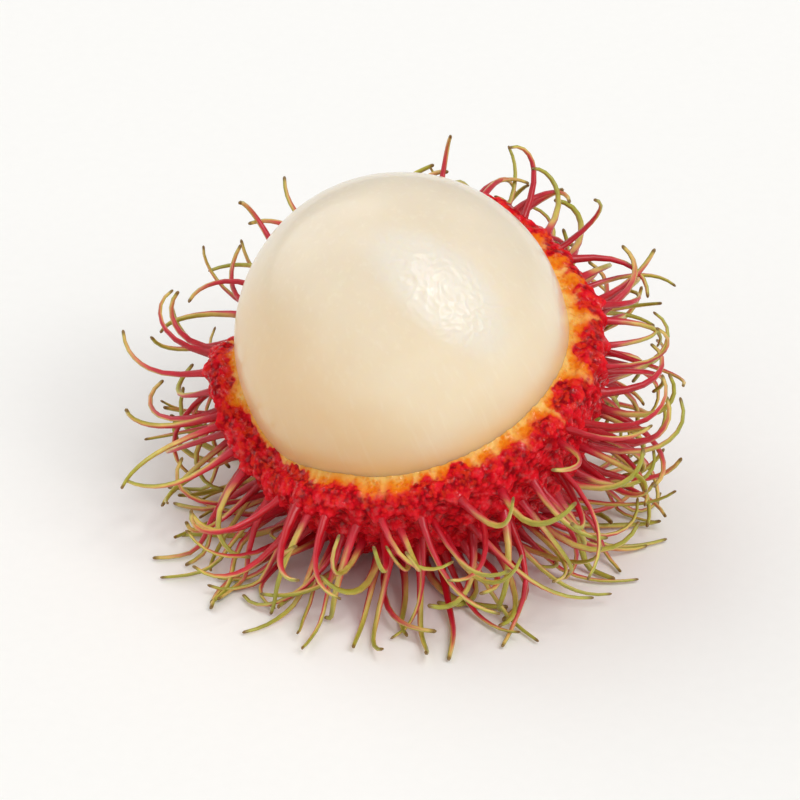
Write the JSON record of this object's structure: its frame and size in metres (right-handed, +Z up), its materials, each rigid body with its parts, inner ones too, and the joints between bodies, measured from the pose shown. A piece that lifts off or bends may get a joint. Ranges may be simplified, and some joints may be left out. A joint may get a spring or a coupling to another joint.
{
  "type": "half-peeled rambutan",
  "caption": "Half-peeled rambutan: a hairy red husk cup with a torn rim holding a smooth pale ball of flesh, resting on a small flat spot.",
  "frame": {"origin": "centre of the flat spot under the husk, on the surface that the fruit rests on", "axes": "+Z up, square to the resting surface; -Y faces the viewer; the fruit's own axis leans 23 degrees from upright, on a bearing 33 degrees round from -X towards -Y"},
  "size_m": [0.0608, 0.06, 0.0414],
  "materials": {
    "husk_skin": "moist crimson fruit skin with soft hairs that turn yellow-green towards their tips, and an orange and yellow torn rim",
    "aril_flesh": "wet, milky, slightly translucent fruit flesh"
  },
  "bodies": {
    "root": {"husk": "husk_skin", "flesh": "aril_flesh"}
  },
  "joints": []
}
